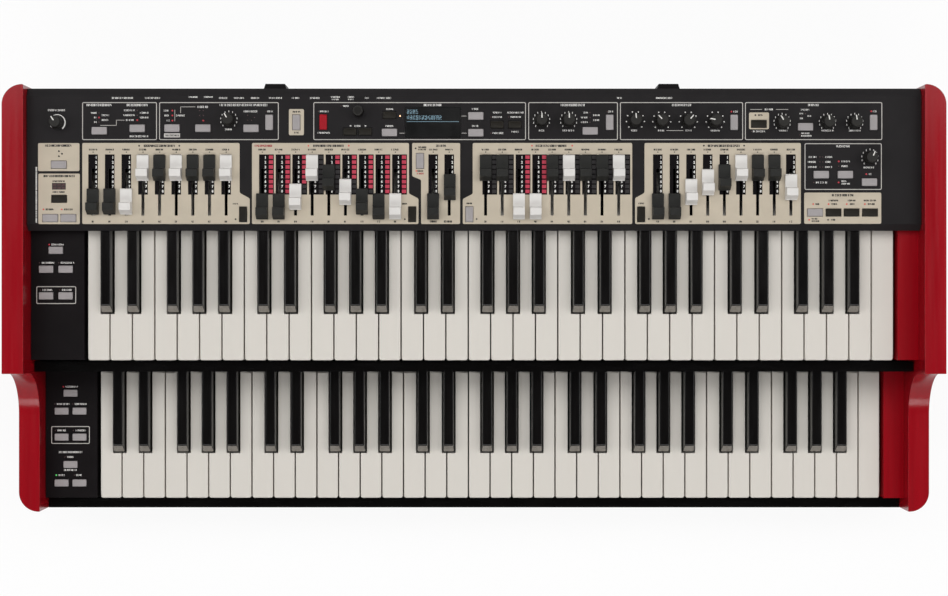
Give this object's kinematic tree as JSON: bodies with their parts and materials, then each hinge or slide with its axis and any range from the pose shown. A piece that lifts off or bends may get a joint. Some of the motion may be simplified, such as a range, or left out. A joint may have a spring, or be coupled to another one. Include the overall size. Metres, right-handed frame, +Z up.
{
  "type": "dual-manual organ",
  "caption": "Dual-manual table-top electric organ with stepped keyboards, a panel of drawbars, knobs and push buttons, and swept red cheeks.",
  "frame": {"origin": "on the ground, under the middle of the organ's bounding box", "axes": "+X along the keys from bass to treble, +Y from the player to the rear, +Z up"},
  "size_m": [0.9742, 0.4528, 0.1777],
  "materials": {
    "red_lacquer": "satin red lacquer",
    "case_sheet": "black powder coat",
    "foot_rubber": "matt rubber",
    "chassis_metal": "plain sheet",
    "black_plastic": "fine satin",
    "grey_button": "soft matt",
    "white_key": "polished",
    "black_key": "polished",
    "panel_paint": "fine textured black",
    "window_plastic": "clear dark window",
    "circuit_board": "solder mask",
    "knob_plastic": "satin",
    "drawbar_plastic": "satin white",
    "black_drawbar_plastic": "satin black",
    "inlet_plastic": "moulded black"
  },
  "bodies": {
    "root": {"left_cheek": "red_lacquer", "right_cheek": "red_lacquer", "base_pan": "case_sheet", "left_front_foot": "foot_rubber", "right_front_foot": "foot_rubber", "left_rear_foot": "foot_rubber", "right_rear_foot": "foot_rubber", "upper_chassis": "chassis_metal", "lower_key_slip": "black_plastic", "upper_key_slip": "black_plastic", "upper_left_block": "black_plastic", "lower_left_block": "black_plastic", "upper_keybed": "chassis_metal", "lower_keybed": "chassis_metal", "control_panel": "panel_paint", "display_window": "window_plastic", "control_board": "circuit_board", "power_supply": "inlet_plastic", "left_stand_bracket": "black_plastic", "right_stand_bracket": "black_plastic"},
    "upper_whites_1": {"upper_white_keys_1": "white_key"},
    "upper_whites_2": {"upper_white_keys_2": "white_key"},
    "upper_whites_3": {"upper_white_keys_3": "white_key"},
    "upper_whites_4": {"upper_white_keys_4": "white_key"},
    "upper_whites_5": {"upper_white_keys_5": "white_key"},
    "upper_blacks": {"upper_black_keys": "black_key"},
    "lower_whites_1": {"lower_white_keys_1": "white_key"},
    "lower_whites_2": {"lower_white_keys_2": "white_key"},
    "lower_whites_3": {"lower_white_keys_3": "white_key"},
    "lower_whites_4": {"lower_white_keys_4": "white_key"},
    "lower_whites_5": {"lower_white_keys_5": "white_key"},
    "lower_blacks": {"lower_black_keys": "black_key"},
    "panel_pad": {"panel_buttons": "grey_button"},
    "upper_block_pad": {"upper_block_buttons": "grey_button"},
    "lower_block_pad": {"lower_block_buttons": "grey_button"},
    "bars_upper_a_123": {"upper_a_drawbars_123": "drawbar_plastic"},
    "bars_upper_a_456789": {"upper_a_drawbars_456789": "drawbar_plastic"},
    "bars_upper_b_12789": {"upper_b_drawbars_12789": "drawbar_plastic"},
    "bars_upper_b_36": {"upper_b_drawbars_36": "drawbar_plastic"},
    "bars_upper_b_45": {"upper_b_drawbars_45": "drawbar_plastic"},
    "bar_pedal_16": {"pedal_16_drawbar": "black_drawbar_plastic"},
    "bar_pedal_8": {"pedal_8_drawbar": "black_drawbar_plastic"},
    "bars_lower_a_1256789": {"lower_a_drawbars_1256789": "drawbar_plastic"},
    "bars_lower_a_34": {"lower_a_drawbars_34": "drawbar_plastic"},
    "bars_lower_b_12": {"lower_b_drawbars_12": "drawbar_plastic"},
    "bars_lower_b_3459": {"lower_b_drawbars_3459": "drawbar_plastic"},
    "bars_lower_b_678": {"lower_b_drawbars_678": "drawbar_plastic"},
    "master_volume": {"master_volume_knob": "knob_plastic"},
    "drive": {"drive_knob": "knob_plastic"},
    "rate": {"rate_knob": "knob_plastic"},
    "amount": {"amount_knob": "knob_plastic"},
    "bass": {"bass_knob": "knob_plastic"},
    "mid_frequency": {"mid_frequency_knob": "knob_plastic"},
    "mid_gain": {"mid_gain_knob": "knob_plastic"},
    "treble": {"treble_knob": "knob_plastic"},
    "delay_mix": {"delay_mix_knob": "knob_plastic"},
    "delay_feedback": {"delay_feedback_knob": "knob_plastic"},
    "delay_time": {"delay_time_knob": "knob_plastic"},
    "reverb": {"reverb_knob": "knob_plastic"},
    "dial": {"value_dial": "knob_plastic"}
  },
  "joints": [
    {"name": "upper_whites_1_press", "type": "hinge", "parent": "root", "child": "upper_whites_1", "pos_m": [-0.32366, 0.1309, 0.1187], "axis": [1, 0, 0], "range_deg": [0, 3], "stiffness_Nm_per_rad": 5, "springref_deg": -20.05},
    {"name": "upper_whites_2_press", "type": "hinge", "parent": "root", "child": "upper_whites_2", "pos_m": [-0.15899, 0.1309, 0.1187], "axis": [1, 0, 0], "range_deg": [0, 3], "stiffness_Nm_per_rad": 5, "springref_deg": -20.05},
    {"name": "upper_whites_3_press", "type": "hinge", "parent": "root", "child": "upper_whites_3", "pos_m": [0.00569, 0.1309, 0.1187], "axis": [1, 0, 0], "range_deg": [0, 3], "stiffness_Nm_per_rad": 5, "springref_deg": -20.05},
    {"name": "upper_whites_4_press", "type": "hinge", "parent": "root", "child": "upper_whites_4", "pos_m": [0.17036, 0.1309, 0.1187], "axis": [1, 0, 0], "range_deg": [0, 3], "stiffness_Nm_per_rad": 5, "springref_deg": -20.05},
    {"name": "upper_whites_5_press", "type": "hinge", "parent": "root", "child": "upper_whites_5", "pos_m": [0.3468, 0.1309, 0.1187], "axis": [1, 0, 0], "range_deg": [0, 3], "stiffness_Nm_per_rad": 6, "springref_deg": -20.05},
    {"name": "upper_blacks_press", "type": "hinge", "parent": "root", "child": "upper_blacks", "pos_m": [0.01745, 0.1429, 0.1317], "axis": [1, 0, 0], "range_deg": [0, 3], "stiffness_Nm_per_rad": 10, "springref_deg": -20.05},
    {"name": "lower_whites_1_press", "type": "hinge", "parent": "root", "child": "lower_whites_1", "pos_m": [-0.32366, -0.0207, 0.0527], "axis": [1, 0, 0], "range_deg": [0, 3], "stiffness_Nm_per_rad": 5, "springref_deg": -20.05},
    {"name": "lower_whites_2_press", "type": "hinge", "parent": "root", "child": "lower_whites_2", "pos_m": [-0.15899, -0.0207, 0.0527], "axis": [1, 0, 0], "range_deg": [0, 3], "stiffness_Nm_per_rad": 5, "springref_deg": -20.05},
    {"name": "lower_whites_3_press", "type": "hinge", "parent": "root", "child": "lower_whites_3", "pos_m": [0.00569, -0.0207, 0.0527], "axis": [1, 0, 0], "range_deg": [0, 3], "stiffness_Nm_per_rad": 5, "springref_deg": -20.05},
    {"name": "lower_whites_4_press", "type": "hinge", "parent": "root", "child": "lower_whites_4", "pos_m": [0.17036, -0.0207, 0.0527], "axis": [1, 0, 0], "range_deg": [0, 3], "stiffness_Nm_per_rad": 5, "springref_deg": -20.05},
    {"name": "lower_whites_5_press", "type": "hinge", "parent": "root", "child": "lower_whites_5", "pos_m": [0.3468, -0.0207, 0.0527], "axis": [1, 0, 0], "range_deg": [0, 3], "stiffness_Nm_per_rad": 6, "springref_deg": -20.05},
    {"name": "lower_blacks_press", "type": "hinge", "parent": "root", "child": "lower_blacks", "pos_m": [0.01745, -0.0087, 0.0657], "axis": [1, 0, 0], "range_deg": [0, 3], "stiffness_Nm_per_rad": 10, "springref_deg": -20.05},
    {"name": "panel_pad_press", "type": "slide", "parent": "root", "child": "panel_pad", "axis": [0, 0, -1], "range_m": [0, 0.0008], "stiffness_N_per_m": 2000, "springref_m": -0.002},
    {"name": "upper_block_pad_press", "type": "slide", "parent": "root", "child": "upper_block_pad", "axis": [0, 0, -1], "range_m": [0, 0.0008], "stiffness_N_per_m": 800, "springref_m": -0.002},
    {"name": "lower_block_pad_press", "type": "slide", "parent": "root", "child": "lower_block_pad", "axis": [0, 0, -1], "range_m": [0, 0.0008], "stiffness_N_per_m": 800, "springref_m": -0.002},
    {"name": "upper_a_123_pull", "type": "slide", "parent": "root", "child": "bars_upper_a_123", "axis": [0, -1, 0], "range_m": [-0.035, 0.005]},
    {"name": "upper_a_456789_pull", "type": "slide", "parent": "root", "child": "bars_upper_a_456789", "axis": [0, -1, 0], "range_m": [0, 0.04]},
    {"name": "upper_b_12789_pull", "type": "slide", "parent": "root", "child": "bars_upper_b_12789", "axis": [0, -1, 0], "range_m": [-0.035, 0]},
    {"name": "upper_b_36_pull", "type": "slide", "parent": "root", "child": "bars_upper_b_36", "axis": [0, -1, 0], "range_m": [-0.025, 0.01]},
    {"name": "upper_b_45_pull", "type": "slide", "parent": "root", "child": "bars_upper_b_45", "axis": [0, -1, 0], "range_m": [0, 0.03]},
    {"name": "pedal_16_pull", "type": "slide", "parent": "root", "child": "bar_pedal_16", "axis": [0, -1, 0], "range_m": [-0.04, 0]},
    {"name": "pedal_8_pull", "type": "slide", "parent": "root", "child": "bar_pedal_8", "axis": [0, -1, 0], "range_m": [-0.02, 0.02]},
    {"name": "lower_a_1256789_pull", "type": "slide", "parent": "root", "child": "bars_lower_a_1256789", "axis": [0, -1, 0], "range_m": [0, 0.04]},
    {"name": "lower_a_34_pull", "type": "slide", "parent": "root", "child": "bars_lower_a_34", "axis": [0, -1, 0], "range_m": [-0.04, 0]},
    {"name": "lower_b_12_pull", "type": "slide", "parent": "root", "child": "bars_lower_b_12", "axis": [0, -1, 0], "range_m": [-0.04, 0]},
    {"name": "lower_b_3459_pull", "type": "slide", "parent": "root", "child": "bars_lower_b_3459", "axis": [0, -1, 0], "range_m": [-0.01, 0.015]},
    {"name": "lower_b_678_pull", "type": "slide", "parent": "root", "child": "bars_lower_b_678", "axis": [0, -1, 0], "range_m": [0, 0.04]},
    {"name": "master_volume_turn", "type": "hinge", "parent": "root", "child": "master_volume", "pos_m": [-0.43291, 0.18476, 0.1637], "axis": [0, 0, 1], "range_deg": [-185, 115]},
    {"name": "drive_turn", "type": "hinge", "parent": "root", "child": "drive", "pos_m": [-0.25458, 0.18757, 0.1637], "axis": [0, 0, 1], "range_deg": [-180, 120]},
    {"name": "rate_turn", "type": "hinge", "parent": "root", "child": "rate", "pos_m": [0.07011, 0.18697, 0.1637], "axis": [0, 0, 1], "range_deg": [-150, 150]},
    {"name": "amount_turn", "type": "hinge", "parent": "root", "child": "amount", "pos_m": [0.09828, 0.18697, 0.1637], "axis": [0, 0, 1], "range_deg": [-150, 150]},
    {"name": "bass_turn", "type": "hinge", "parent": "root", "child": "bass", "pos_m": [0.16755, 0.18668, 0.1637], "axis": [0, 0, 1], "range_deg": [-155, 145]},
    {"name": "mid_frequency_turn", "type": "hinge", "parent": "root", "child": "mid_frequency", "pos_m": [0.19489, 0.18638, 0.1637], "axis": [0, 0, 1], "range_deg": [-195, 105]},
    {"name": "mid_gain_turn", "type": "hinge", "parent": "root", "child": "mid_gain", "pos_m": [0.2225, 0.18638, 0.1637], "axis": [0, 0, 1], "range_deg": [-110, 190]},
    {"name": "treble_turn", "type": "hinge", "parent": "root", "child": "treble", "pos_m": [0.2504, 0.18638, 0.1637], "axis": [0, 0, 1], "range_deg": [-230, 70]},
    {"name": "delay_mix_turn", "type": "hinge", "parent": "root", "child": "delay_mix", "pos_m": [0.31994, 0.18505, 0.1637], "axis": [0, 0, 1], "range_deg": [-180, 120]},
    {"name": "delay_feedback_turn", "type": "hinge", "parent": "root", "child": "delay_feedback", "pos_m": [0.36709, 0.18505, 0.1637], "axis": [0, 0, 1], "range_deg": [-160, 140]},
    {"name": "delay_time_turn", "type": "hinge", "parent": "root", "child": "delay_time", "pos_m": [0.39535, 0.18505, 0.1637], "axis": [0, 0, 1], "range_deg": [-160, 140]},
    {"name": "reverb_turn", "type": "hinge", "parent": "root", "child": "reverb", "pos_m": [0.41116, 0.14808, 0.1637], "axis": [0, 0, 1], "range_deg": [-125, 175]},
    {"name": "dial_turn", "type": "hinge", "parent": "root", "child": "dial", "pos_m": [-0.11994, 0.19585, 0.1637], "axis": [0, 0, 1], "continuous": true}
  ]
}
